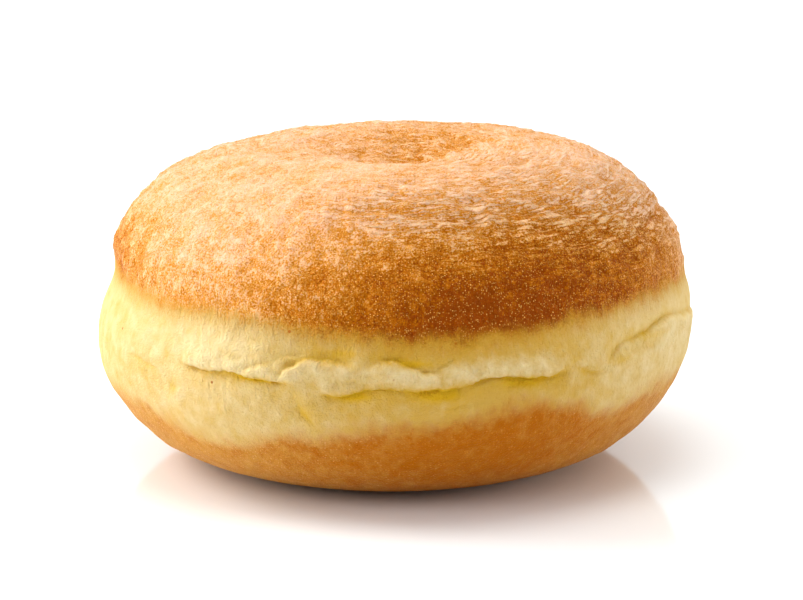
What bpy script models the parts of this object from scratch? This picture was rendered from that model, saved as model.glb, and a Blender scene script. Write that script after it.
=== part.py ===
"""Filled doughnut, fried whole and uncut: one solid of risen dough.

Metres, +Z up. The origin is the middle of the base on the table. The front faces -Y, and
angles round the doughnut are in degrees from the front, positive towards +X.

The body is turned about its upright axis from an outline through named stations. It is then
worked as dough is: creases are folded into the pale band that never touched the fat, the
body is lumped and leaned a little, and it is set down on a small flat base.
"""

import math
import random
from collections import namedtuple

import bmesh
import bpy
import numpy as np
from mathutils import Vector, noise
from mathutils.geometry import interpolate_bezier

MM = 0.001

# Driving dimensions of the turned body, from the middle of the top down to the base.
HOLLOW_HEIGHT = 45.2 * MM  # floor of the shallow hollow in the top
CREST_RADIUS = 19.0 * MM  # the ring round the hollow, where the doughnut is highest
CREST_HEIGHT = 48.4 * MM
SHOULDER_RADIUS = 33.8 * MM
SHOULDER_HEIGHT = 45.0 * MM
CRUST_SIDE_RADIUS = 42.3 * MM
CRUST_SIDE_HEIGHT = 36.8 * MM
CRUST_FOOT_RADIUS = 44.9 * MM  # the waist where the browned crust ends and the pale band begins
CRUST_FOOT_HEIGHT = 29.2 * MM
BAND_RADIUS = 46.0 * MM  # the pale band at its widest
BAND_HEIGHT = 20.1 * MM
UNDERSIDE_RADIUS = 43.5 * MM
UNDERSIDE_HEIGHT = 11.8 * MM
TUCK_RADIUS = 35.6 * MM
TUCK_HEIGHT = 3.5 * MM
BASE_RADIUS = 20.6 * MM

# Mesh density: quads round the body, and rings in each stretch of the outline.
SEGMENTS = 120
HOLLOW_RINGS = 5
TOP_RINGS = 4
SHOULDER_RINGS = 4
CRUST_SIDE_RINGS = 3
UPPER_BAND_RINGS = 8
LOWER_BAND_RINGS = 8
UNDERSIDE_RINGS = 4
TUCK_RINGS = 4
HANDLE_SHARE = 0.36  # of the distance between two stations, for the curve's handles

# How the dough departs from a turned shape.
LEAN = 0.024  # sideways shift towards +X for each unit of height
BAND_RISE = 1.2 * MM  # the band's bulge sits this much higher at +X and lower at -X
LEFT_WAIST = 1.3 * MM  # extra pinch at the crust's foot at -X
LUMP_DEPTH = 0.4 * MM
LUMP_SIZE = 23.0 * MM
LUMP_START = Vector((13.1, 4.2, 19.4))
SET_HEIGHT = 9.0 * MM  # below this the lumps and folds fade out, so that the base stays flat

# A crease runs from start through bend to end. Each is an angle in degrees and a height in mm.
# depth is in mm. lip is 1 where the dough above hangs over the crease, and -1 where the dough
# below swells past it.
Fold = namedtuple("Fold", "start bend end depth lip")
FRONT_FOLDS = (
    Fold((-69, 20.6), (-58, 21.0), (-47, 18.8), 0.7, 1),
    Fold((-41, 22.0), (-31, 22.5), (-19, 21.5), 1.2, 1),
    Fold((-23, 21.8), (-16, 25.4), (-8, 24.2), 1.0, -1),
    Fold((-17, 19.4), (-4, 21.3), (10, 20.9), 1.6, 1),
    Fold((6, 20.7), (20, 22.7), (35, 22.1), 1.7, 1),
    Fold((-7, 24.3), (1, 25.4), (9, 23.9), 1.1, -1),
    Fold((7, 24.0), (12, 25.2), (16, 27.6), 0.8, -1),
    Fold((32, 22.2), (38, 22.0), (44, 20.8), 1.0, 1),
    Fold((40, 21.3), (50, 25.0), (64, 25.9), 1.0, -1),
    Fold((60, 25.6), (74, 25.2), (89, 23.6), 0.7, -1),
    Fold((-18, 22.0), (-17, 17.8), (-14, 14.4), 0.9, 1),
    Fold((-42, 19.0), (-47, 17.9), (-49, 14.6), 0.7, -1),
)

# The back is creased in the same way, by rule.
BACK_FOLD_SEED = 11
BACK_FOLD_COUNT = 11
BACK_START, BACK_END = 92, 292  # degrees
BACK_FOLD_REACH = (13, 24)  # degrees that a crease runs
BACK_FOLD_HEIGHT = (20.0, 25.5)  # mm
BACK_FOLD_DEPTH = (0.7, 1.3)  # mm

FOLD_STEPS = 14  # straight pieces that a crease is measured along
GROOVE_WIDTH = 1.5 * MM  # from the bottom of a crease up its steep side, under the lip
HOLLOW_WIDTH = 3.0 * MM  # and up its gentle side
LIP_REACH = 2.4 * MM
LIP_SHARE = 0.45  # of the depth, how far the lip stands proud

CRUST_BROWN = (0.50, 0.20, 0.03, 1.0)
CRUST_ROUGHNESS = 0.45


def clear_scene():
    for obj in list(bpy.data.objects):
        bpy.data.objects.remove(obj)


def stations():
    """(radius, height) of each station from the top's middle to the base's edge, and the rings after it."""
    return (
        ((0.0, HOLLOW_HEIGHT), HOLLOW_RINGS),
        ((CREST_RADIUS, CREST_HEIGHT), TOP_RINGS),
        ((SHOULDER_RADIUS, SHOULDER_HEIGHT), SHOULDER_RINGS),
        ((CRUST_SIDE_RADIUS, CRUST_SIDE_HEIGHT), CRUST_SIDE_RINGS),
        ((CRUST_FOOT_RADIUS, CRUST_FOOT_HEIGHT), UPPER_BAND_RINGS),
        ((BAND_RADIUS, BAND_HEIGHT), LOWER_BAND_RINGS),
        ((UNDERSIDE_RADIUS, UNDERSIDE_HEIGHT), UNDERSIDE_RINGS),
        ((TUCK_RADIUS, TUCK_HEIGHT), TUCK_RINGS),
        ((BASE_RADIUS, 0.0), 0),
    )


def outline():
    """The profile as a list of points in the XZ plane: one smooth curve through the stations."""
    knots = [Vector(place) for place, _ in stations()]
    rings = [count for _, count in stations()]
    outward = Vector((1.0, 0.0))
    headings = [(after - before).normalized() for before, after in zip(knots, knots[2:])]
    headings = [outward, *headings, -outward]  # level at the middle of the top and at the table
    points = [knots[0]]
    for i, count in enumerate(rings[:-1]):
        handle = (knots[i + 1] - knots[i]).length * HANDLE_SHARE
        leaving = knots[i] + headings[i] * handle
        arriving = knots[i + 1] - headings[i + 1] * handle
        points += interpolate_bezier(knots[i], leaving, arriving, knots[i + 1], count + 1)[1:]
    return [Vector((p.x, 0.0, p.y)) for p in points]


def turned_body():
    """The plain round body: the outline spun about the upright axis, with the base filled in."""
    bm = bmesh.new()
    verts = [bm.verts.new(point) for point in outline()]
    edges = [bm.edges.new(pair) for pair in zip(verts, verts[1:])]
    bmesh.ops.spin(
        bm,
        geom=verts + edges,
        cent=(0, 0, 0),
        axis=(0, 0, 1),
        angle=math.tau,
        steps=SEGMENTS,
        use_merge=True,
    )
    bmesh.ops.remove_doubles(bm, verts=bm.verts, dist=0.001 * MM)
    rim = [edge for edge in bm.edges if edge.is_boundary]
    bmesh.ops.contextual_create(bm, geom=rim)
    bmesh.ops.recalc_face_normals(bm, faces=bm.faces)
    mesh = bpy.data.meshes.new("doughnut")
    bm.to_mesh(mesh)
    bm.free()
    return mesh


def smooth_step(x):
    x = np.clip(x, 0.0, 1.0)
    return x * x * (3.0 - 2.0 * x)


def back_folds():
    """Creases round the side away from the front, spaced evenly and varied by a seeded draw."""
    draw = random.Random(BACK_FOLD_SEED)
    pitch = (BACK_END - BACK_START) / BACK_FOLD_COUNT
    folds = []
    for i in range(BACK_FOLD_COUNT):
        middle = BACK_START + pitch * (i + 0.5) + draw.uniform(-3, 3)
        reach = draw.uniform(*BACK_FOLD_REACH) / 2
        height = draw.uniform(*BACK_FOLD_HEIGHT)
        rise = draw.uniform(-1.8, 1.8)
        folds.append(
            Fold(
                (middle - reach, height - rise),
                (middle, height + draw.uniform(-0.7, 0.7)),
                (middle + reach, height + rise),
                draw.uniform(*BACK_FOLD_DEPTH),
                draw.choice((-1, 1)),
            )
        )
    return folds


def fold_line(fold):
    """The crease laid flat, as points (distance round the band, height) on a curve through its bend."""
    start, bend, end = (
        np.array((math.radians(angle) * BAND_RADIUS, height * MM))
        for angle, height in (fold.start, fold.bend, fold.end)
    )
    pull = 2.0 * bend - (start + end) / 2.0
    t = np.linspace(0.0, 1.0, FOLD_STEPS + 1)[:, None]
    return (1 - t) ** 2 * start + 2 * t * (1 - t) * pull + t**2 * end


def nearest_on_line(places, line):
    """Signed distance of each place from the line, positive on its left, and how far along it is."""
    best = np.full(len(places), np.inf)
    side = np.ones(len(places))
    along = np.zeros(len(places))
    for i in range(len(line) - 1):
        run = line[i + 1] - line[i]
        t = np.clip((places - line[i]) @ run / (run @ run), 0.0, 1.0)
        away = places - (line[i] + t[:, None] * run)
        distance = np.hypot(away[:, 0], away[:, 1])
        closer = distance < best
        best[closer] = distance[closer]
        turn = run[0] * away[:, 1] - run[1] * away[:, 0]
        side[closer] = np.where(turn[closer] < 0, -1.0, 1.0)
        along[closer] = (i + t[closer]) / (len(line) - 1)
    return best * side, along


def fold_push(places, fold):
    """How far one crease moves each place out from the axis."""
    line = fold_line(fold)
    if line[0, 0] > line[-1, 0]:
        line = line[::-1]  # from left to right, so that the left of the line is its upper side
    across, along = nearest_on_line(places, line)
    side = across * fold.lip
    reach = np.abs(side)
    lip = LIP_SHARE * reach / LIP_REACH * np.exp(1.0 - reach / LIP_REACH)
    steep = lip - np.exp(-((reach / GROOVE_WIDTH) ** 2))
    gentle = -np.exp(-((reach / HOLLOW_WIDTH) ** 2))
    taper = np.sqrt(np.clip(4.0 * along * (1.0 - along), 0.0, 1.0))
    return fold.depth * MM * taper * np.where(side > 0, steep, gentle)


def press_folds(co):
    """Pushes the creases into the side."""
    turn = np.arctan2(co[:, 0], -co[:, 1])
    radius = np.hypot(co[:, 0], co[:, 1])
    push = np.zeros(len(co))
    for fold in (*FRONT_FOLDS, *back_folds()):
        middle = math.radians(fold.bend[0])
        near = (turn - middle + math.pi) % math.tau - math.pi + middle
        places = np.stack([near * BAND_RADIUS, co[:, 2]], axis=1)
        push += fold_push(places, fold)
    push *= smooth_step(co[:, 2] / SET_HEIGHT) * smooth_step(radius / BASE_RADIUS - 1.0)
    return co * (1.0 + push / np.maximum(radius, BASE_RADIUS))[:, None] ** (1, 1, 0)


def lump(co):
    """Raises and sinks broad lumps, as hand-shaped dough has, outwards from the middle of the body."""
    middle = np.array((0.0, 0.0, BAND_HEIGHT))
    heights = np.array([noise.noise(Vector(p) / LUMP_SIZE + LUMP_START) for p in co])
    out = co - middle
    out /= np.linalg.norm(out, axis=1)[:, None]
    fade = smooth_step(co[:, 2] / SET_HEIGHT)
    return co + out * (heights * LUMP_DEPTH * 2.0 * fade)[:, None]


def lean(co):
    """Leans the body towards +X, lifts the band there and pinches its waist at -X."""
    co = co.copy()
    radius = np.hypot(co[:, 0], co[:, 1])
    sideways = co[:, 0] / BAND_RADIUS
    in_band = np.exp(-(((co[:, 2] - BAND_HEIGHT) / (8.0 * MM)) ** 2))
    at_waist = np.exp(-(((co[:, 2] - CRUST_FOOT_HEIGHT) / (4.0 * MM)) ** 2))
    pinch = LEFT_WAIST * at_waist * np.clip(-sideways, 0.0, 1.0) ** 3
    co[:, :2] *= (1.0 - pinch / np.maximum(radius, BASE_RADIUS))[:, None]
    rise = BAND_RISE * sideways * in_band * smooth_step(radius / BASE_RADIUS - 1.0)
    co[:, 0] += LEAN * (co[:, 2] - BAND_HEIGHT)
    co[:, 2] += rise
    return co


def stand_on_origin(co):
    """Puts the middle of the body's box over the origin, with the base at height 0."""
    low, high = co.min(axis=0), co.max(axis=0)
    middle = (low + high) / 2.0
    return co - (middle[0], middle[1], low[2])


def dough_material():
    material = bpy.data.materials.new("browned_dough")
    material.use_nodes = True
    shader = material.node_tree.nodes["Principled BSDF"]
    shader.inputs["Base Color"].default_value = CRUST_BROWN
    shader.inputs["Roughness"].default_value = CRUST_ROUGHNESS
    shader.inputs["Metallic"].default_value = 0.0
    return material


def build_doughnut():
    mesh = turned_body()
    co = np.empty(len(mesh.vertices) * 3)
    mesh.vertices.foreach_get("co", co)
    co = co.reshape(-1, 3)
    for work in (lump, lean, press_folds, stand_on_origin):
        co = work(co)
    mesh.vertices.foreach_set("co", co.ravel())
    mesh.shade_smooth()
    mesh.set_sharp_from_angle(angle=math.radians(50))
    mesh.update()
    mesh.materials.append(dough_material())
    doughnut = bpy.data.objects.new("doughnut", mesh)
    bpy.context.scene.collection.objects.link(doughnut)
    return doughnut


clear_scene()
build_doughnut()
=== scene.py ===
import math
import random
from collections import namedtuple

import bpy
import numpy as np
from bpy.props import FloatProperty, FloatVectorProperty, IntProperty, PointerProperty
from bpy.types import Operator, Panel, PropertyGroup
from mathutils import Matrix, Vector, noise
from mathutils.geometry import interpolate_bezier


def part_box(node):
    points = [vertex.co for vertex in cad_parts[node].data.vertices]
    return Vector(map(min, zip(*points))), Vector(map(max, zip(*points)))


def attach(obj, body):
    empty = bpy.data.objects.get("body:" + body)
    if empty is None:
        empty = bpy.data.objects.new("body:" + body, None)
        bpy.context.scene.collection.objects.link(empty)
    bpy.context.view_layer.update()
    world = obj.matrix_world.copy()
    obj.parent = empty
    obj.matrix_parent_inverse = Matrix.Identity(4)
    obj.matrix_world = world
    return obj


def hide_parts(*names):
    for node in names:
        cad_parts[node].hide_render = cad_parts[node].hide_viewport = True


bl_info = {
    "name": "Filled Doughnut",
    "version": (1, 0, 0),
    "blender": (4, 5, 0),
    "location": "3D View > Sidebar > Doughnut",
    "description": "A fried doughnut with a browned crust and a pale creased band, on a plain studio floor",
    "category": "Add Mesh",
}

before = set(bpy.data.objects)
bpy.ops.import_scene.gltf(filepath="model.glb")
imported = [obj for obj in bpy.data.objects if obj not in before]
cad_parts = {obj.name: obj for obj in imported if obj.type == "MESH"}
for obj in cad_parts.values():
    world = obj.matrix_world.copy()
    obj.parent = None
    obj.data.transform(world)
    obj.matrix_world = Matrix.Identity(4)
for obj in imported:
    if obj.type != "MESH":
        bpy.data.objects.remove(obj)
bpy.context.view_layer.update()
LOW, HIGH = (Vector(corner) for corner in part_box("doughnut"))

MM = 0.001
HALF_WIDTH = (HIGH.x - LOW.x + HIGH.y - LOW.y) / 4
TALL = HIGH.z - LOW.z

# The outline from the middle of the top to the middle of the base. Radii are shares of the half
# width and heights are shares of the whole height. rings is how many rings follow the station.
Station = namedtuple("Station", "radius height rings")
OUTLINE = (
    Station(0.0, 0.934, 28),
    Station(0.410, 1.0, 20),
    Station(0.729, 0.930, 18),
    Station(0.912, 0.760, 14),
    Station(0.968, 0.603, 36),
    Station(0.992, 0.415, 34),
    Station(0.938, 0.244, 16),
    Station(0.768, 0.072, 16),
    Station(0.444, 0.0, 6),
    Station(0.0, 0.0, 0),
)
BAND_RADIUS = OUTLINE[5].radius * HALF_WIDTH
BAND_HEIGHT = OUTLINE[5].height * TALL
WAIST_HEIGHT = OUTLINE[4].height * TALL
BASE_RADIUS = OUTLINE[8].radius * HALF_WIDTH
HANDLE_SHARE = 0.36

# How the dough departs from a turned shape. The frame's solid has the same lean, lumps and folds.
LEAN = 0.024
BAND_RISE = 1.2 * MM
LEFT_WAIST = 1.3 * MM
LUMP_SIZE = 23.0 * MM
LUMP_START = Vector((13.1, 4.2, 19.4))
SET_HEIGHT = 9.0 * MM

# A crease runs through its points, each an angle in degrees from the front and a height in mm.
# depth is in mm. lip is 1 where the dough above hangs over the crease, -1 where the dough below
# swells past it.
Crease = namedtuple("Crease", "points depth lip")
FRONT_CREASES = (
    Crease(((-63, 20.8), (-58, 20.9), (-53, 20.5), (-48, 18.9)), 0.35, 1),
    Crease(((-44, 22.4), (-38, 22.0), (-31, 22.1), (-25, 21.4), (-18, 21.5)), 0.85, 1),
    Crease(((-30, 22.9), (-25, 24.2), (-19, 25.7), (-14, 26.1)), 0.45, -1),
    Crease(((-30, 26.6), (-26, 27.2), (-23, 28.2)), 0.25, -1),
    Crease(((-23, 21.6), (-20, 23.8), (-16, 25.2), (-11, 25.5), (-6, 24.5)), 0.75, -1),
    Crease(((-16, 19.6), (-8, 20.3), (-2, 21.4), (3, 20.9), (9, 21.0), (14, 21.6)), 0.95, 1),
    Crease(((11, 21.3), (18, 22.7), (23, 22.2), (29, 21.8), (35, 22.4)), 1.1, 1),
    Crease(((-12, 21.6), (-6, 23.0), (0, 24.0)), 0.35, 1),
    Crease(((-10, 21.4), (-3, 22.4), (3, 22.9)), 0.3, 1),
    Crease(((-6, 24.9), (0, 25.5), (5, 24.2), (9, 24.6), (13, 26.6)), 0.75, -1),
    Crease(((6, 24.0), (8, 23.2), (12, 22.8)), 0.4, -1),
    Crease(((11, 24.9), (14, 27.2), (18, 28.2)), 0.35, -1),
    Crease(((31, 22.2), (34, 23.2), (38, 24.6)), 0.5, -1),
    Crease(((33, 22.3), (38, 22.0), (44, 20.9)), 0.6, 1),
    Crease(((42, 21.3), (46, 24.0), (54, 25.1), (63, 26.0), (70, 25.6)), 0.7, -1),
    Crease(((66, 25.8), (75, 24.9), (89, 23.6)), 0.45, -1),
    Crease(((44, 22.3), (50, 23.3), (54, 22.9), (60, 23.2)), 0.45, -1),
    Crease(((-19, 21.8), (-17, 17.6), (-15, 13.6)), 0.6, 1),
    Crease(((-18, 15.4), (-16, 14.6), (-14, 14.8)), 0.35, -1),
    Crease(((-42, 18.9), (-46, 17.8), (-49, 15.0)), 0.45, -1),
    Crease(((-34, 18.8), (-35, 14.0)), 0.3, -1),
    Crease(((8, 16.0), (10, 17.9), (16, 19.3)), 0.35, 1),
    Crease(((19, 19.8), (23, 21.2), (27, 20.6)), 0.35, -1),
)

# The back is creased in the same way, by rule.
BACK_SEED = 11
BACK_COUNT = 11
BACK_START, BACK_END = 97, 264
BACK_REACH = (13, 24)
BACK_HEIGHT = (20.0, 25.5)
BACK_DEPTH = (0.7, 1.3)

# Height of the crust's lower edge and of the brown underside's upper edge, in mm. Each bulge is an
# angle from the front, a reach in degrees and a rise in mm.
CRUST_FOOT = 30.2
CRUST_FOOT_BULGES = ((8, 24, -1.7), (-35, 12, 0.7), (-90, 25, 0.8), (62, 18, 0.5), (150, 30, -0.8), (235, 30, -0.8))
BASE_TOP = 14.4
BASE_TOP_BULGES = (
    (-38, 16, -3.2), (-5, 10, 0.8), (26, 17, 3.6), (45, 6, -1.8), (80, 35, 2.2), (160, 30, 1.8), (240, 30, -1.8),
)

# Where it browned most, with a painted shade and a painted sheen laid in the same way: angle from the front and
# height, how far round and how far up it reaches, and how much browner it is. The rest of the crust has the even
# level.
Browning = namedtuple("Browning", "angle height wide tall amount")
EVEN_BROWNING = 0.20
BROWNED = (
    # Low at the front right the crust is darkest. This is partly browning and partly painted shade, away from the key
    # light.
    Browning(17, 30, 35, 12, 0.90),
    Browning(42, 40, 26, 8, 0.20),
    Browning(62, 34, 25, 8, 0.24),
    Browning(-58, 31.5, 22, 4, 0.10),
    Browning(-85, 34, 22, 6, 0.35),
    # A painted sheen: the top right is made paler here by a negative amount.
    Browning(45, 44, 58, 6, -0.20),
    Browning(14, 10, 42, 10, 0.50),
    Browning(150, 33, 40, 11, 0.60),
    Browning(228, 31, 32, 9, 0.45),
    Browning(185, 10, 60, 10, 0.35),
)
# How tan the band is, in the same way. The darker front middle is partly painted shade under the crust. The paler
# places at the sides and on the rolls are partly a painted sheen and a painted highlight.
EVEN_TAN = 0.15
TANNED_AND_SHADED = (
    Browning(12, 24, 27, 14, 0.60),
    Browning(150, 24, 35, 14, 0.45),
    Browning(232, 24, 30, 14, 0.40),
    Browning(3, 23.4, 14, 1.7, -0.60),
    Browning(21, 24.2, 11, 1.6, -0.40),
    Browning(-32, 26, 15, 6, -0.22),
    Browning(62, 26, 16, 8, -0.16),
)
# Small spots beside the creases that get the crease colour, painted shade, in colour only.
CREASE_SHADE_SPOTS = (
    Browning(-7, 19.7, 3.0, 0.7, 0.7),
    Browning(8, 20.0, 4.0, 1.0, 0.9),
    Browning(24, 21.2, 4.0, 0.8, 0.9),
    Browning(-16, 17.4, 1.6, 2.2, 0.5),
    Browning(4, 24.7, 3.5, 0.6, 0.6),
    Browning(-10, 26.0, 5.0, 0.6, 0.4),
    Browning(-27, 21.4, 5.0, 0.5, 0.5),
    Browning(47, 22.0, 3.0, 0.7, 0.5),
    Browning(57, 24.2, 6.0, 0.7, 0.4),
)
# Where the top has shrunk into ripples that run round it.
WRINKLED = (
    Browning(58, 42, 48, 8, 0.9),
    Browning(4, 45.5, 24, 2.6, 0.55),
    Browning(165, 42, 50, 8, 0.6),
    Browning(245, 44, 28, 5, 0.35),
)
DIMPLE_BROWNING = 0.08
DIMPLE_SIZE = 13.0 * MM

CREASE_STEPS = 6
GROOVE_WIDTH = 0.55 * MM
HOLLOW_WIDTH = 2.0 * MM
LIP_REACH = 1.1 * MM
LIP_SHARE = 0.5
OVERHANG = 0.5
TAPER = 3.5 * MM
WANDER = 0.55 * MM
WANDER_SIZE = 3.4 * MM
QUIVER = 0.22 * MM
QUIVER_SIZE = 1.1 * MM


# ---------------------------------------------------------------- settings


class DoughnutShape(PropertyGroup):
    """Sizes of the doughnut's surface"""

    segments: IntProperty(
        name="Segments",
        description="Quads round the doughnut",
        default=512,
        min=96,
    )
    lump_depth: FloatProperty(
        name="Lumps",
        description="How far the broad lumps stand out from the turned shape",
        default=0.4 * MM,
        unit="LENGTH",
    )
    crease_depth: FloatProperty(
        name="Crease depth",
        description="Multiplies the depth of every crease in the band",
        default=0.75,
        subtype="FACTOR",
    )
    wrinkle_depth: FloatProperty(
        name="Crust wrinkles",
        description="Depth of the leathery wrinkles in the crust",
        default=0.55 * MM,
        unit="LENGTH",
    )
    pucker_depth: FloatProperty(
        name="Band puckers",
        description="Depth of the soft puckers in the pale band",
        default=0.17 * MM,
        unit="LENGTH",
    )


class DoughnutColours(PropertyGroup):
    """Colours of the doughnut's surface"""

    band: FloatVectorProperty(
        name="Band",
        description="The pale dough that stayed above the fat",
        default=(0.59, 0.358, 0.0677),
        subtype="COLOR",
    )
    # Partly the palest dough, and partly a painted sheen towards the sides and a painted highlight on the rolls.
    band_cream_and_sheen: FloatVectorProperty(
        name="Band, cream",
        description="Its palest dough, on the rolls and towards the sides",
        default=(0.75, 0.597, 0.315),
        subtype="COLOR",
    )
    # Painted shade: the golden colour laid in the hollows of the creases, where shade falls.
    crease: FloatVectorProperty(
        name="Crease",
        description="Dough at the bottom of a crease",
        default=(0.66, 0.385, 0.016),
        subtype="COLOR",
    )
    # Partly the least fried crust, and partly a painted sheen on the top and painted highlights on the ridges.
    crust_pale_sheen: FloatVectorProperty(
        name="Crust, pale",
        description="The crust on its ridges and where it fried least",
        default=(0.87, 0.540, 0.34),
        subtype="COLOR",
    )
    crust_golden: FloatVectorProperty(
        name="Crust, golden",
        description="The crust where it fried lightly",
        default=(0.84, 0.415, 0.19),
        subtype="COLOR",
    )
    crust_amber: FloatVectorProperty(
        name="Crust, amber",
        description="The crust between golden and brown",
        default=(0.70, 0.275, 0.030),
        subtype="COLOR",
    )
    crust: FloatVectorProperty(
        name="Crust",
        description="The middle brown of the crust",
        default=(0.56, 0.160, 0.0012),
        subtype="COLOR",
    )
    # Reached mostly in the browned patches. Low at the front right it is partly painted shade.
    crust_dark: FloatVectorProperty(
        name="Crust, dark",
        description="The crust where it fried longest, low on its side",
        default=(0.345, 0.0625, 0.0001),
        subtype="COLOR",
    )
    # Partly browning and partly painted shade below the crust's edge.
    edge: FloatVectorProperty(
        name="Crust edge",
        description="The deep gold between the crust and the band",
        default=(0.502, 0.233, 0.00607),
        subtype="COLOR",
    )
    # Painted highlight: the pale colour painted on the tiny blisters as glints. It is also the second colour of the
    # palest crust.
    painted_glint: FloatVectorProperty(
        name="Flecks",
        description="The tiny pale blisters of the crust and base",
        default=(0.92, 0.55, 0.24),
        subtype="COLOR",
    )
    # Painted highlight: the shine colour is painted on the smallest blisters to stand for fat shining on them.
    shine: FloatVectorProperty(
        name="Shine",
        description="The smallest blisters, which shine with fat where the crust is brown",
        default=(0.95, 0.53, 0.13),
        subtype="COLOR",
    )
    base: FloatVectorProperty(
        name="Base",
        description="The lighter brown underside",
        default=(0.592, 0.278, 0.0452),
        subtype="COLOR",
    )
    base_dark: FloatVectorProperty(
        name="Base, dark",
        description="The darker patches of the underside",
        default=(0.44, 0.122, 0.00109),
        subtype="COLOR",
    )


class DoughnutStudio(PropertyGroup):
    """The floor, lights and camera"""

    elevation: FloatProperty(
        name="Camera elevation",
        description="Angle of the camera above the floor",
        default=math.radians(13.0),
        subtype="ANGLE",
    )
    distance: FloatProperty(
        name="Camera distance",
        description="From the camera to the point that it looks at",
        default=0.6,
        unit="LENGTH",
    )
    field: FloatProperty(
        name="Field",
        description="Width that the camera sees at that distance",
        default=0.12514,
        unit="LENGTH",
    )
    key_power: FloatProperty(
        name="Key light",
        description="Strength of the soft light high on the left",
        default=5.5,
        unit="POWER",
    )
    left_power: FloatProperty(
        name="Low left light",
        description="Strength of the soft light low on the left",
        default=2.6,
        unit="POWER",
    )
    right_power: FloatProperty(
        name="Low right light",
        description="Strength of the soft light low on the right",
        default=2.7,
        unit="POWER",
    )
    over_power: FloatProperty(
        name="Overhead light",
        description="Strength of the soft light straight overhead",
        default=3.2,
        unit="POWER",
    )
    near_power: FloatProperty(
        name="Near left light",
        description="Strength of the soft light in front on the left",
        default=2.2,
        unit="POWER",
    )
    sky: FloatProperty(
        name="Surround, behind",
        description="Brightness of the white surround behind and above the doughnut",
        default=1.04,
    )
    dim: FloatProperty(
        name="Surround, front",
        description="Brightness of the surround on the camera's side",
        default=0.34,
    )


# ---------------------------------------------------------------- shape of the skin


def smooth_step(x):
    x = np.clip(x, 0.0, 1.0)
    return x * x * (3.0 - 2.0 * x)


def noise_at(places, size, start=0.0):
    """Blender's own noise, from -1 to 1, at each place. size is the distance from lump to lump."""
    shift = Vector((start, start * 0.7, -start))
    return np.array([noise.noise(Vector(place) / size + shift) for place in places.reshape(-1, 3)]).reshape(
        places.shape[:-1]
    )


def outline():
    """(radius, height) of every ring, on one smooth curve through the stations."""
    knots = [Vector((s.radius * HALF_WIDTH, s.height * TALL)) for s in OUTLINE]
    level = Vector((1.0, 0.0))
    headings = [(after - before).normalized() for before, after in zip(knots, knots[2:])]
    headings = [level, *headings, -level]
    headings[-2] = -level  # the outline comes down flat on the base's edge
    points = [knots[0]]
    for i, station in enumerate(OUTLINE[:-1]):
        reach = (knots[i + 1] - knots[i]).length * HANDLE_SHARE
        leaving = knots[i] + headings[i] * reach
        arriving = knots[i + 1] - headings[i + 1] * reach
        points += interpolate_bezier(knots[i], leaving, arriving, knots[i + 1], station.rings + 1)[1:]
    return np.array([(p.x, p.y) for p in points])


def turned_grid(segments):
    """Points of the turned body as an array of rings by segments by 3. The first and last rings have no radius."""
    profile = outline()
    turn = np.linspace(0.0, math.tau, segments, endpoint=False)
    radius, height = profile[:, :1], profile[:, 1:]
    return np.stack([radius * np.sin(turn), -radius * np.cos(turn), height + 0.0 * turn], axis=-1)


def lump(grid, depth):
    """Raises and sinks broad lumps, outwards from the middle of the body."""
    out = grid - (0.0, 0.0, BAND_HEIGHT)
    out /= np.linalg.norm(out, axis=-1, keepdims=True)
    heights = np.array([noise.noise(Vector(p) / LUMP_SIZE + LUMP_START) for p in grid.reshape(-1, 3)])
    fade = smooth_step(grid[..., 2] / SET_HEIGHT)
    return grid + out * (heights.reshape(grid.shape[:2]) * depth * 2.0 * fade)[..., None]


def lean(grid):
    """Leans the body towards +X, lifts the band there and pinches its waist at -X."""
    grid = grid.copy()
    radius = np.hypot(grid[..., 0], grid[..., 1])
    sideways = grid[..., 0] / BAND_RADIUS
    in_band = np.exp(-(((grid[..., 2] - BAND_HEIGHT) / (8.0 * MM)) ** 2))
    at_waist = np.exp(-(((grid[..., 2] - WAIST_HEIGHT) / (4.0 * MM)) ** 2))
    pinch = LEFT_WAIST * at_waist * np.clip(-sideways, 0.0, 1.0) ** 3
    rise = BAND_RISE * sideways * in_band * smooth_step(radius / BASE_RADIUS - 1.0)
    grid[..., :2] *= (1.0 - pinch / np.maximum(radius, BASE_RADIUS))[..., None]
    grid[..., 0] += LEAN * (grid[..., 2] - BAND_HEIGHT)
    grid[..., 2] += rise
    return grid


def back_creases():
    """Creases round the side away from the front, spaced evenly and varied by a seeded draw."""
    draw = random.Random(BACK_SEED)
    pitch = (BACK_END - BACK_START) / BACK_COUNT
    creases = []
    for i in range(BACK_COUNT):
        middle = BACK_START + pitch * (i + 0.5) + draw.uniform(-3, 3)
        reach = draw.uniform(*BACK_REACH) / 2
        height = draw.uniform(*BACK_HEIGHT)
        rise = draw.uniform(-1.8, 1.8)
        bend = height + draw.uniform(-0.7, 0.7)
        points = ((middle - reach, height - rise), (middle, bend), (middle + reach, height + rise))
        creases.append(Crease(points, draw.uniform(*BACK_DEPTH), draw.choice((-1, 1))))
    return creases


def nearest_on_line(places, line):
    """Signed distance of each place from the line, positive on its left, and its distance along the line."""
    best = np.full(len(places), np.inf)
    side = np.ones(len(places))
    along = np.zeros(len(places))
    gone = 0.0
    for start, end in zip(line, line[1:]):
        run = end - start
        length = math.hypot(*run)
        t = np.clip((places - start) @ run / length**2, 0.0, 1.0)
        away = places - (start + t[:, None] * run)
        distance = np.hypot(away[:, 0], away[:, 1])
        closer = distance < best
        best[closer] = distance[closer]
        turn = run[0] * away[:, 1] - run[1] * away[:, 0]
        side[closer] = np.where(turn[closer] < 0, -1.0, 1.0)
        along[closer] = gone + t[closer] * length
        gone += length
    return best * side, along, gone


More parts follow.
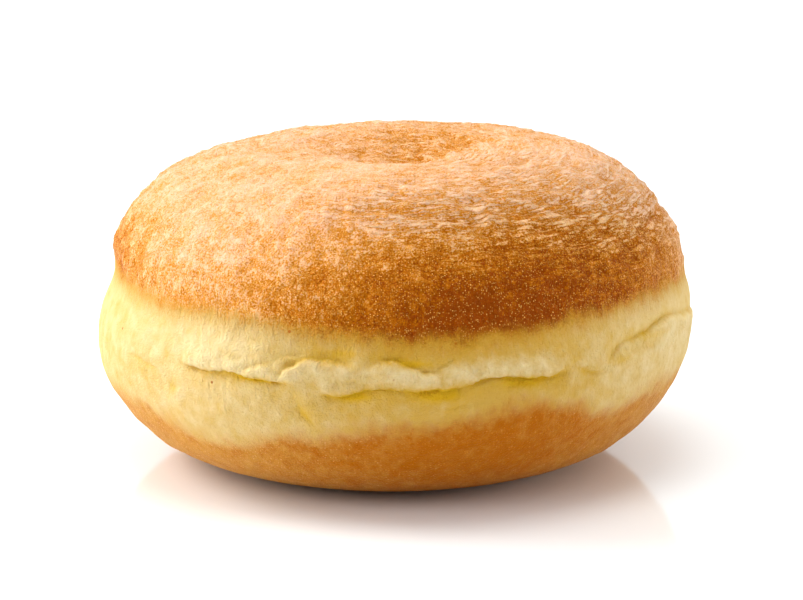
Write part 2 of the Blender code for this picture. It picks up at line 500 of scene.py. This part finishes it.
def crease_line(crease):
    """The crease laid flat, as points (distance round the band, height) on a smooth curve from left to right."""
    ends = [Vector((math.radians(angle) * BAND_RADIUS, height * MM)) for angle, height in crease.points]
    if ends[0].x > ends[-1].x:
        ends.reverse()
    headings = [after - before for before, after in zip([ends[0], *ends], [*ends[1:], ends[-1]])]
    line = [ends[0]]
    for i in range(len(ends) - 1):
        leaving = ends[i] + headings[i] / 6
        arriving = ends[i + 1] - headings[i + 1] / 6
        line += interpolate_bezier(ends[i], leaving, arriving, ends[i + 1], CREASE_STEPS)[1:]
    return np.array([(point.x, point.y) for point in line])


class Folds:
    """What the creases do to the skin: how far it moves out and up, and where it is sunk or raised."""

    def __init__(self, grid):
        turn = np.arctan2(grid[..., 0], -grid[..., 1]).ravel()
        self.turn = turn
        self.height = grid[..., 2].ravel()
        self.out = np.zeros(turn.shape)
        self.up = np.zeros(turn.shape)
        self.sunk = np.zeros(turn.shape)
        self.raised = np.zeros(turn.shape)
        self.wander = [
            WANDER * noise_at(grid, WANDER_SIZE, start).ravel() + QUIVER * noise_at(grid, QUIVER_SIZE, start).ravel()
            for start in (3.0, 8.0)
        ]
        self.uneven = noise_at(grid, 5.0 * MM, 15.0).ravel()

    def press(self, crease, strength):
        line = crease_line(crease)
        middle = line[:, 0].mean() / BAND_RADIUS
        turn = (self.turn - middle + math.pi) % math.tau - math.pi + middle
        places = np.stack([turn * BAND_RADIUS + self.wander[0], self.height + self.wander[1]], axis=1)
        margin = 4.0 * HOLLOW_WIDTH
        low, high = line.min(axis=0) - margin, line.max(axis=0) + margin
        near = np.flatnonzero(((places > low) & (places < high)).all(axis=1))
        across, along, length = nearest_on_line(places[near], line)
        taper = smooth_step(along / TAPER) * smooth_step((length - along) / TAPER)
        depth = crease.depth * MM * strength * taper * (1.0 + 0.45 * self.uneven[near])
        side = across * crease.lip
        reach = np.abs(side)
        swell = reach / LIP_REACH * np.exp(1.0 - reach / LIP_REACH) * (side > 0)
        cut = np.exp(-((reach / GROOVE_WIDTH) ** 2))
        hollow = np.where(side > 0, cut, 0.5 * cut + 0.5 * np.exp(-((reach / HOLLOW_WIDTH) ** 2)))
        self.out[near] += depth * (LIP_SHARE * swell - hollow)
        self.up[near] -= depth * OVERHANG * swell * crease.lip
        self.sunk[near] = np.maximum(self.sunk[near], depth / MM * hollow)
        self.raised[near] = np.maximum(self.raised[near], depth / MM * swell)


def fold_skin(grid, strength):
    """Presses the creases into the side. Returns the new grid and how sunk and how raised each point is."""
    folds = Folds(grid)
    for crease in (*FRONT_CREASES, *back_creases()):
        folds.press(crease, strength)
    shape = grid.shape[:2]
    radius = np.hypot(grid[..., 0], grid[..., 1])
    fade = smooth_step(grid[..., 2] / SET_HEIGHT) * smooth_step(radius / BASE_RADIUS - 1.0)
    grid = grid.copy()
    grid[..., :2] *= (1.0 + folds.out.reshape(shape) * fade / np.maximum(radius, BASE_RADIUS))[..., None]
    grid[..., 2] += folds.up.reshape(shape) * fade
    return grid, folds.sunk.reshape(shape), folds.raised.reshape(shape)


def grid_normals(grid):
    """Unit normals of the grid, pointing out."""
    round_it = np.roll(grid, -1, axis=1) - np.roll(grid, 1, axis=1)
    down_it = np.gradient(grid, axis=0)
    normals = np.cross(down_it, round_it)
    normals[0], normals[-1] = (0.0, 0.0, 1.0), (0.0, 0.0, -1.0)
    return normals / np.maximum(np.linalg.norm(normals, axis=-1, keepdims=True), 1e-12)


def arc_lengths(grid):
    """Distance of each point from the middle of the top, measured down the skin."""
    steps = np.linalg.norm(np.diff(grid, axis=0), axis=-1).mean(axis=1)
    return np.concatenate([[0.0], np.cumsum(steps)])[:, None] * np.ones(grid.shape[1])


def swells(turn, level, bulges):
    """A height that is level but for smooth bulges, each an angle from the front, a reach in degrees and a rise."""
    angles = np.degrees(turn)
    for angle, reach, rise in bulges:
        level = level + rise * np.exp(-((((angles - angle + 180.0) % 360.0 - 180.0) / reach) ** 2))
    return level


def browning(grid, turn, level, patches):
    """How brown each place is, from 0 for the palest to 1 for the darkest."""
    angles, heights = np.degrees(turn), grid[..., 2] / MM
    level = np.full(turn.shape, level)
    for patch in patches:
        round_it = (angles - patch.angle + 180.0) % 360.0 - 180.0
        level += patch.amount * np.exp(-((round_it / patch.wide) ** 2) - ((heights - patch.height) / patch.tall) ** 2)
    return level


def wrinkle(grid, arc, in_crust, in_band, wrinkled, creased, shape):
    """Works the fine relief into the skin: ripples and pebbles in the crust, soft puckers in the band.

    Returns the new grid and how high each point stands in the crust's relief, about -1 to 1.
    """
    laid = np.stack([grid[..., 0] * 0.28, grid[..., 1] * 0.28, arc], axis=-1)
    rippled = 1.0 - 3.0 * np.abs(noise_at(laid, 2.1 * MM, 4.0))
    pebbled = 0.6 * noise_at(grid, 4.5 * MM, 9.0) + 0.5 * noise_at(grid, 1.2 * MM, 2.0)
    ridge = 0.9 * wrinkled * rippled + pebbled
    soft = noise_at(grid * (1.0, 1.0, 0.45), 1.3 * MM, 6.0)
    puckers = noise_at(grid, 3.6 * MM, 12.0)
    steady = smooth_step(grid[..., 2] / (5.0 * MM))
    crinkles = (1.0 - 2.6 * np.abs(noise_at(grid * (0.8, 0.8, 1.0), 1.4 * MM, 20.0))) * np.minimum(creased, 1.0)
    band = 0.4 * soft + 1.1 * puckers + 1.5 * crinkles
    push = shape.wrinkle_depth * ridge * in_crust + shape.pucker_depth * band * in_band
    return grid + grid_normals(grid) * (push * steady)[..., None], ridge


def fit_to_frame(grid):
    """Sets the skin's box on the frame's."""
    low, high = grid.reshape(-1, 3).min(axis=0), grid.reshape(-1, 3).max(axis=0)
    scale = (np.array(HIGH) - np.array(LOW)) / (high - low)
    return (grid - low) * scale + np.array(LOW)


def skin_mesh(name, grid, layers):
    """A closed mesh from the grid, with a single point at each pole, carrying the layers as attributes."""
    rings, segments = grid.shape[:2]
    inner = grid[1:-1].reshape(-1, 3)
    points = np.concatenate([grid[0, :1], inner, grid[-1, :1]])
    last = len(points) - 1
    ring = np.arange(segments)
    after = np.roll(ring, -1)
    top = np.stack([np.zeros(segments, int), 1 + ring, 1 + after], axis=1)
    start = (1 + np.arange(rings - 3) * segments)[:, None]
    quads = np.stack([start + ring, start + segments + ring, start + segments + after, start + after], axis=-1)
    foot = 1 + (rings - 3) * segments
    bottom = np.stack([foot + ring, np.full(segments, last), foot + after], axis=1)
    mesh = bpy.data.meshes.new(name)
    mesh.from_pydata(points.tolist(), [], [*top.tolist(), *quads.reshape(-1, 4).tolist(), *bottom.tolist()])
    mesh.update()
    for title, values in layers.items():
        flat = np.concatenate([values[0, :1], values[1:-1].ravel(), values[-1, :1]])
        mesh.attributes.new(title, "FLOAT", "POINT").data.foreach_set("value", flat.astype(np.float32))
    mesh.shade_smooth()
    return mesh


def make_skin(shape):
    grid = lean(lump(turned_grid(shape.segments), shape.lump_depth))
    turn = np.arctan2(grid[..., 0], -grid[..., 1])
    above = grid[..., 2] / MM - swells(turn, CRUST_FOOT, CRUST_FOOT_BULGES)
    below = swells(turn, BASE_TOP, BASE_TOP_BULGES) - grid[..., 2] / MM
    arc = arc_lengths(grid)
    from_axis = np.hypot(grid[..., 0], grid[..., 1])
    brown = browning(grid, turn, EVEN_BROWNING, BROWNED) + DIMPLE_BROWNING * np.exp(-((from_axis / DIMPLE_SIZE) ** 2))
    tan = browning(grid, turn, EVEN_TAN, TANNED_AND_SHADED)
    grid, sunk, raised = fold_skin(grid, shape.crease_depth)
    in_crust = smooth_step(above / 3.0 + 0.5)
    wrinkled = browning(grid, turn, 0.12, WRINKLED)
    grid, ridge = wrinkle(grid, arc, in_crust, 1.0 - in_crust, wrinkled, sunk + raised, shape)
    grid = fit_to_frame(grid)
    layers = {
        "above_band": above,
        "below_band": below,
        "golden": sunk + browning(grid, turn, 0.0, CREASE_SHADE_SPOTS),
        "raised": raised,
        "down_skin": arc / MM,
        "browning": brown,
        "tan": tan,
        "ridge": ridge,
        "wrinkled": wrinkled,
    }
    return skin_mesh("skin", grid, layers)


# ---------------------------------------------------------------- finishes


class Value:
    """A number, colour or vector that comes out of a node. Arithmetic on numbers adds Math nodes."""

    def __init__(self, finish, socket):
        self.finish = finish
        self.socket = socket

    def _math(self, operation, *others, clamp=False):
        return self.finish.node("ShaderNodeMath", {"operation": operation, "use_clamp": clamp}, self, *others)

    def __add__(self, other):
        return self._math("ADD", other)

    __radd__ = __add__

    def __sub__(self, other):
        return self._math("SUBTRACT", other)

    def __rsub__(self, other):
        return self.finish.node("ShaderNodeMath", {"operation": "SUBTRACT"}, other, self)

    def __mul__(self, other):
        return self._math("MULTIPLY", other)

    __rmul__ = __mul__

    def __truediv__(self, other):
        return self._math("DIVIDE", other)

    def __neg__(self):
        return self._math("MULTIPLY", -1.0)

    def power(self, exponent):
        return self._math("POWER", exponent)

    def most(self, other):
        return self._math("MAXIMUM", other)

    def least(self, other):
        return self._math("MINIMUM", other)

    def clamped(self):
        return self._math("ADD", 0.0, clamp=True)

    def step(self, low, high):
        """0 below low, 1 above high and smooth between. Low may be the larger."""
        settings = {"interpolation_type": "SMOOTHSTEP", "clamp": True}
        if low < high:
            return self.finish.node("ShaderNodeMapRange", settings, self, low, high, 0.0, 1.0)
        return self.finish.node("ShaderNodeMapRange", settings, self, high, low, 1.0, 0.0)


class Finish:
    """Builds one node tree."""

    def __init__(self, tree):
        self.tree = tree
        tree.nodes.clear()

    def node(self, kind, settings=None, *inputs, out=0, **named):
        """Adds a node. Settings come first, then the sockets in order, then those named by their number or name."""
        node = self.tree.nodes.new(kind)
        for key, value in (settings or {}).items():
            setattr(node, key, value)
        for key, value in [*enumerate(inputs), *named.items()]:
            socket = node.inputs[key.replace("_", " ") if isinstance(key, str) else key]
            if isinstance(value, Value):
                self.tree.links.new(value.socket, socket)
            elif value is not None:
                socket.default_value = value
        return Value(self, node.outputs[out]) if node.outputs else None

    def attribute(self, name):
        return self.node("ShaderNodeAttribute", {"attribute_name": name}, out="Fac")

    def place(self, scale=(1.0, 1.0, 1.0), shift=(0.0, 0.0, 0.0)):
        """The point on the object in millimetres, stretched by scale."""
        here = self.node("ShaderNodeTexCoord", out="Object")
        scale = [1000.0 * s for s in scale]
        return self.node(
            "ShaderNodeVectorMath", {"operation": "MULTIPLY_ADD"}, here, tuple(scale), tuple(shift)
        )

    def noise(self, where, per_mm, detail=2.0, rough=0.5, distortion=0.0):
        """Noise from 0 to 1, with per_mm lumps a millimetre."""
        return self.node(
            "ShaderNodeTexNoise", None, None, None, Vector=where, Scale=per_mm, Detail=detail,
            Roughness=rough, Distortion=distortion,
        )

    def cells(self, where, per_mm, feature="F1", out="Distance"):
        return self.node("ShaderNodeTexVoronoi", {"feature": feature}, Vector=where, Scale=per_mm, out=out)

    def mix(self, share, first, second, blend="MIX"):
        """A colour between two colours."""
        settings = {"data_type": "RGBA", "blend_type": blend, "clamp_factor": True}
        first, second = (colour if isinstance(colour, Value) else (*colour, 1.0) for colour in (first, second))
        node = self.tree.nodes.new("ShaderNodeMix")
        for key, value in settings.items():
            setattr(node, key, value)
        for socket, value in zip((node.inputs[0], node.inputs[6], node.inputs[7]), (share, first, second)):
            if isinstance(value, Value):
                self.tree.links.new(value.socket, socket)
            else:
                socket.default_value = value
        return Value(self, node.outputs[2])

    def red(self, colour):
        """One random number from a cell's random colour."""
        return self.node("ShaderNodeSeparateColor", None, colour, out=0)


def dough_material(colours):
    """Fried dough: a browned, finely blistered top, a soft pale band and a light brown underside."""
    material = bpy.data.materials.new("fried_dough")
    material.use_nodes = True
    f = Finish(material.node_tree)
    here = f.place()
    upright = f.place((1.0, 1.0, 0.6))
    fibrous = f.place((1.0, 1.0, 0.14))
    above, below = f.attribute("above_band"), f.attribute("below_band")
    golden, raised = f.attribute("golden"), f.attribute("raised")
    ridge, wrinkled = f.attribute("ridge"), f.attribute("wrinkled")
    down = f.node("ShaderNodeCombineXYZ", None, 0.0, 0.0, f.attribute("down_skin"))
    laid = f.node("ShaderNodeVectorMath", {"operation": "MULTIPLY_ADD"}, here, (0.24, 0.24, 0.0), down)

    fibres = f.noise(fibrous, 2.3, 2.0, 0.6) - 0.5
    streaks = f.noise(fibrous, 0.9, 3.0, 0.6) - 0.5
    blotches = f.noise(here, 0.22, 2.0) - 0.5
    mottle = f.noise(upright, 0.9, 4.0, 0.65) - 0.5
    grain = f.noise(here, 3.6, 1.0, 0.5) - 0.5
    ripple = f.noise(laid, 1.1, 4.0, 0.65) - 0.5
    rippled = ripple.most(-ripple).step(0.0, 0.12) * wrinkled
    patches = f.noise(here, 0.4, 3.0, 0.6) - 0.5

    crust_edge = above + streaks * 1.6 + patches * 3.0 + blotches * 2.0 + grain * 1.4
    crust = crust_edge.step(-1.3, 1.9)
    edge = crust_edge.step(-5.0, 0.4)
    base_edge = below + blotches * 4.0 + patches * 2.5 + mottle * 1.6 + streaks * 1.2
    base = base_edge.step(-1.6, 3.0)

    # the pale band, deep gold next to the crust, partly browning and partly painted shade below the crust's edge
    # The cream is partly a painted sheen towards the sides and a painted highlight on the raised lips and rolls. The
    # tan is partly painted shade at the front middle.
    creamy = 0.62 - f.attribute("tan") + patches * 1.0 + mottle * (golden + raised + 0.4) + raised * 0.3 + fibres * edge * 0.5
    band = f.mix(creamy.step(-0.1, 1.0), colours.band, colours.band_cream_and_sheen)
    # Painted shade: the crease colour is laid where the skin is sunk in a crease and on the spots beside the creases.
    band = f.mix((golden * 1.1 + grain * 0.2).clamped(), band, colours.crease)
    band = f.mix(edge * edge * 0.8, band, colours.edge)

    speck = f.red(f.cells(here, 0.34, out="Color")).step(0.80, 0.82) * f.cells(here, 0.34).step(0.11, 0.05)
    band = f.mix(speck * 0.8, band, colours.crust_dark)

    # the crust and the underside, with a painted highlight, a pale glint colour, on most of the tiny blisters
    browning = f.attribute("browning")
    crumpled = mottle.most(-mottle).step(0.0, 0.13)
    # The relief paints the tone too. High ridges and raised ripples are paler, a painted highlight, and the grooves
    # between the ripples are darker, painted shade.
    rough_skin = (grain * 1.3 + mottle * 0.65 + patches * 0.35 - ridge * 0.2 + 0.12 - crumpled * 0.2) * (browning.step(0.0, 0.6) * 0.75 + 0.35) * (1.2 - browning * 0.55)
    tone = browning + blotches * 0.4 + rough_skin + (wrinkled * 0.5 - rippled) * 0.6
    # Where the crust is least brown, mostly on the top, its colour is partly a painted sheen.
    palest = f.mix(browning.step(0.22, 0.5), colours.crust_pale_sheen, colours.painted_glint)
    brown = f.mix(tone.step(-0.05, 0.35), palest, colours.crust_golden)
    brown = f.mix(tone.step(0.2, 0.46), brown, colours.crust_amber)
    brown = f.mix(tone.step(0.4, 0.68), brown, colours.crust)
    brown = f.mix(tone.step(0.6, 1.1), brown, colours.crust_dark)
    blister = f.cells(here, 2.6)
    chance = f.red(f.cells(here, 2.6, out="Color"))
    painted_glint = (chance - browning * 0.66 + mottle * 0.5).step(0.0, 0.3) * blister.step(0.42, 0.2)
    # Painted highlight: the glint colour, pale where the crust is light and amber where it is dark.
    glint = f.mix(tone.step(0.2, 0.7), colours.painted_glint, colours.crust_amber)
    brown = f.mix(painted_glint * 0.75, brown, glint)

    deepness = browning + patches * 0.9 + mottle * 0.6 + grain * 0.4 + below * 0.014
    underside = f.mix(deepness.step(0.1, 0.95), colours.base, colours.base_dark)
    underside = f.mix(painted_glint * 0.4, underside, glint)

    colour = f.mix(base, band, underside)
    colour = f.mix(crust, colour, brown)

    # a painted highlight: the shine colour is painted on some of the smallest blisters where the crust is brown,
    # which also get a metallic share
    painted_shine_spots = f.red(f.cells(here, 3.8, out="Color")).step(0.55, 0.75) * f.cells(here, 3.8).step(0.5, 0.2)
    shine = painted_shine_spots * grain.step(-0.25, 0.1) * mottle.step(-0.25, 0.05) * crust * browning.step(0.1, 0.5)
    colour = f.mix(shine, colour, colours.shine)

    # relief finer than the mesh
    crust_bumps = (grain * 0.8 + mottle * 1.2 + crumpled * 0.35) * (browning + 0.35) + rippled * 0.75 + painted_glint * 0.2
    soft_bumps = mottle * (golden + raised + 0.8) + fibres * edge * 0.7 + grain * 0.4
    bumps = crust_bumps * crust + soft_bumps * (1.0 - crust)
    normal = f.node("ShaderNodeBump", None, 1.0, 0.0005, Height=bumps)

    rough = 0.62 - crust * 0.24 - base * 0.14 + mottle * 0.2
    shader = f.node(
        "ShaderNodeBsdfPrincipled",
        None,
        Base_Color=colour,
        Roughness=rough,
        Metallic=shine * 0.7,
        Normal=normal,
        IOR=1.42,
        Subsurface_Weight=0.2,
        Subsurface_Radius=(1.0, 0.5, 0.2),
        Subsurface_Scale=0.0018,
        Specular_IOR_Level=0.08,
        Specular_Tint=(1.0, 0.75, 0.42, 1.0),
    )
    f.node("ShaderNodeOutputMaterial", None, shader)
    return material


def floor_material():
    material = bpy.data.materials.new("studio_floor")
    material.use_nodes = True
    f = Finish(material.node_tree)
    shader = f.node(
        "ShaderNodeBsdfPrincipled", None, Base_Color=(0.94, 0.96, 0.97, 1.0), Roughness=0.1,
        Specular_IOR_Level=0.8
    )
    f.node("ShaderNodeOutputMaterial", None, shader)
    return material


# ---------------------------------------------------------------- operators


class MESH_OT_doughnut_skin(Operator):
    """Shape the doughnut's skin over the frame's solid and give it its fried finish"""

    bl_idname = "mesh.doughnut_skin"
    bl_label = "Doughnut Skin"

    def execute(self, context):
        scene = context.scene
        skin = bpy.data.objects.new("skin", make_skin(scene.doughnut_shape))
        scene.collection.objects.link(skin)
        skin.data.materials.append(dough_material(scene.doughnut_colours))
        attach(skin, "root")
        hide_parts("doughnut")
        return {"FINISHED"}


Lamp = namedtuple("Lamp", "name place size")
LAMPS = (
    Lamp("key", (-0.70, 0.25, 0.55), 0.5),
    Lamp("left", (-0.85, 0.10, 0.20), 0.5),
    Lamp("right", (0.85, -0.10, 0.15), 0.5),
    Lamp("over", (0.0, 0.0, 1.0), 0.6),
    Lamp("near", (-0.60, -0.50, 0.45), 0.5),
)


class SCENE_OT_doughnut_studio(Operator):
    """Set the doughnut on a plain pale floor with soft light, and place the camera"""

    bl_idname = "scene.doughnut_studio"
    bl_label = "Doughnut Studio"

    def execute(self, context):
        scene, studio = context.scene, context.scene.doughnut_studio
        self.add_floor(scene)
        self.add_lamps(scene, studio)
        self.add_surround(scene, studio)
        self.add_camera(scene, studio)
        scene.view_settings.view_transform = "Standard"
        return {"FINISHED"}

    def add_floor(self, scene):
        side = 3.0
        mesh = bpy.data.meshes.new("studio_floor")
        corners = [(-side, -side, LOW.z), (side, -side, LOW.z), (side, side, LOW.z), (-side, side, LOW.z)]
        mesh.from_pydata(corners, [], [(0, 1, 2, 3)])
        mesh.materials.append(floor_material())
        floor = bpy.data.objects.new("studio_floor", mesh)
        scene.collection.objects.link(floor)

    def add_lamps(self, scene, studio):
        for lamp in LAMPS:
            light = bpy.data.lights.new(lamp.name, "AREA")
            light.shape = "DISK"
            light.size = lamp.size
            light.energy = getattr(studio, lamp.name + "_power")
            holder = bpy.data.objects.new(lamp.name, light)
            holder.location = lamp.place
            facing = Vector((0.0, 0.0, BAND_HEIGHT)) - holder.location
            holder.rotation_euler = facing.to_track_quat("-Z", "Y").to_euler()
            scene.collection.objects.link(holder)

    def add_surround(self, scene, studio):
        """A white surround, bright behind and above, dim on the camera's side, and white wherever it is seen."""
        world = bpy.data.worlds.new("surround")
        world.use_nodes = True
        f = Finish(world.node_tree)
        way = f.node("ShaderNodeTexCoord", out="Generated")
        parts = f.node("ShaderNodeSeparateXYZ", None, way, out="Y")
        up = f.node("ShaderNodeSeparateXYZ", None, way, out="Z")
        behind = (parts + up * 0.7).step(-0.5, 0.7)
        strength = studio.dim + behind * (studio.sky - studio.dim)
        seen = f.node("ShaderNodeLightPath", out="Is Camera Ray")
        strength = strength + seen * (1.0 - strength)
        shader = f.node("ShaderNodeBackground", None, (1.0, 1.0, 1.0, 1.0), strength)
        f.node("ShaderNodeOutputWorld", None, shader)
        scene.world = world

    def add_camera(self, scene, studio):
        lens = bpy.data.cameras.new("camera")
        lens.sensor_width = 36.0
        lens.lens = 36.0 * studio.distance / studio.field
        camera = bpy.data.objects.new("camera", lens)
        back = Vector((0.0, -math.cos(studio.elevation), math.sin(studio.elevation)))
        aim = Vector((1.03 * MM, 0.0, 23.75 * MM))
        camera.location = aim + back * studio.distance
        camera.rotation_euler = (-back).to_track_quat("-Z", "Y").to_euler()
        scene.collection.objects.link(camera)
        scene.camera = camera


class VIEW3D_PT_doughnut(Panel):
    """Doughnut"""

    bl_label = "Doughnut"
    bl_space_type = "VIEW_3D"
    bl_region_type = "UI"
    bl_category = "Doughnut"

    def draw(self, context):
        for operator, settings in STEPS:
            box = self.layout.box()
            box.operator(operator.bl_idname)
            for group in settings:
                owner = getattr(context.scene, group)
                for name in owner.bl_rna.properties.keys():
                    if name not in {"rna_type", "name"}:
                        box.prop(owner, name)


STEPS = (
    (MESH_OT_doughnut_skin, ("doughnut_shape", "doughnut_colours")),
    (SCENE_OT_doughnut_studio, ("doughnut_studio",)),
)
SETTINGS = {
    "doughnut_shape": DoughnutShape,
    "doughnut_colours": DoughnutColours,
    "doughnut_studio": DoughnutStudio,
}
CLASSES = (*SETTINGS.values(), *(operator for operator, _ in STEPS), VIEW3D_PT_doughnut)


def register():
    for item in CLASSES:
        bpy.utils.register_class(item)
    for name, group in SETTINGS.items():
        setattr(bpy.types.Scene, name, PointerProperty(type=group))


def unregister():
    for name in SETTINGS:
        delattr(bpy.types.Scene, name)
    for item in reversed(CLASSES):
        bpy.utils.unregister_class(item)


def main():
    register()
    bpy.ops.mesh.doughnut_skin()
    bpy.ops.scene.doughnut_studio()


if __name__ == "__main__":
    main()
